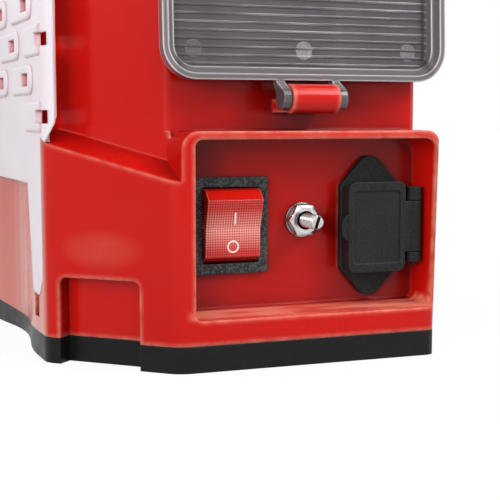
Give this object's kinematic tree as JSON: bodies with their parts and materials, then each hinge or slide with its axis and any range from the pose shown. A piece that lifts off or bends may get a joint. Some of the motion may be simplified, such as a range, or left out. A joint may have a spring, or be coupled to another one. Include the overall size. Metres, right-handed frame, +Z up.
{
  "type": "car battery charger",
  "caption": "Portable car battery charger: red moulded cabinet on a black base tray, recessed connection box under a smoked flap, carrying handle on top.",
  "frame": {"origin": "middle of the cabinet, on the ground, on the underside of the base tray", "axes": "+Z up; -Y is the end with the connection box and its flap; -X is the long side with the white chain-link panel"},
  "size_m": [0.1313, 0.2067, 0.217],
  "materials": {
    "red_shell": "gloss moulded plastic",
    "black_tray": "satin",
    "black_grip": "fine grain",
    "white_panel": "semi-gloss",
    "smoked_flap": "smoked, semi-gloss",
    "switch_black": "fine grain",
    "rocker_red": "gloss, translucent look",
    "nickel": "nickel plated",
    "inlet_black": "fine grain",
    "contact_brass": "bright",
    "plain_steel": "zinc plated",
    "core_steel": "laminated, varnished",
    "copper_wire": "enamelled wire",
    "board_green": "solder mask",
    "capacitor_sleeve": "shrink sleeve",
    "sink_aluminium": "extruded",
    "fan_black": "satin",
    "lens_green": "clear tinted"
  },
  "bodies": {
    "cabinet": {"housing": "red_shell", "base_tray": "black_tray", "top_cover": "red_shell", "side_panel": "white_panel", "carry_handle": "black_grip", "switch_frame": "switch_black", "switch_terminal_1": "contact_brass", "switch_terminal_2": "contact_brass", "switch_terminal_3": "contact_brass", "earth_stud": "nickel", "earth_washer": "nickel", "earth_nut": "nickel", "earth_nut_inner": "nickel", "inlet_socket": "inlet_black", "inlet_pin_earth": "contact_brass", "inlet_pin_line": "contact_brass", "inlet_pin_neutral": "contact_brass", "lid_hinge_pin": "plain_steel", "selector_switch": "switch_black", "indicator_lens_1": "lens_green", "indicator_lens_2": "lens_green", "transformer_core": "core_steel", "transformer_winding": "copper_wire", "circuit_board": "board_green", "capacitor_1": "capacitor_sleeve", "capacitor_2": "capacitor_sleeve", "heat_sink": "sink_aluminium", "bridge_rectifier": "switch_black", "fan_frame": "fan_black", "output_gland": "inlet_black", "gland_nut": "inlet_black", "base_screw_1": "plain_steel", "base_screw_2": "plain_steel", "base_screw_3": "plain_steel", "base_screw_4": "plain_steel"},
    "smoked_flap": {"flap": "smoked_flap"},
    "switch_rocker": {"rocker": "rocker_red"},
    "socket_lid": {"inlet_lid": "inlet_black"},
    "fan": {"fan_rotor": "fan_black"},
    "selector": {"selector_knob": "black_grip"}
  },
  "joints": [
    {"name": "flap_hinge", "type": "hinge", "parent": "cabinet", "child": "smoked_flap", "pos_m": [0.0175, -0.093, 0.0856], "axis": [-1, 0, 0], "range_deg": [-182.5, 0]},
    {"name": "rocker_tilt", "type": "hinge", "parent": "cabinet", "child": "switch_rocker", "pos_m": [-0.0064, -0.0813, 0.045], "axis": [-1, 0, 0], "range_deg": [0, 20]},
    {"name": "lid_hinge", "type": "hinge", "parent": "cabinet", "child": "socket_lid", "pos_m": [0.05775, -0.0876, 0.0434], "axis": [0, 0, 1], "range_deg": [0, 90]},
    {"name": "fan_spin", "type": "hinge", "parent": "cabinet", "child": "fan", "pos_m": [0.005, 0.085, 0.118], "axis": [0, 1, 0], "continuous": true},
    {"name": "knob_turn", "type": "hinge", "parent": "cabinet", "child": "selector", "pos_m": [0.004, -0.059, 0.183], "axis": [0, 0, 1], "range_deg": [-60, 60]}
  ]
}
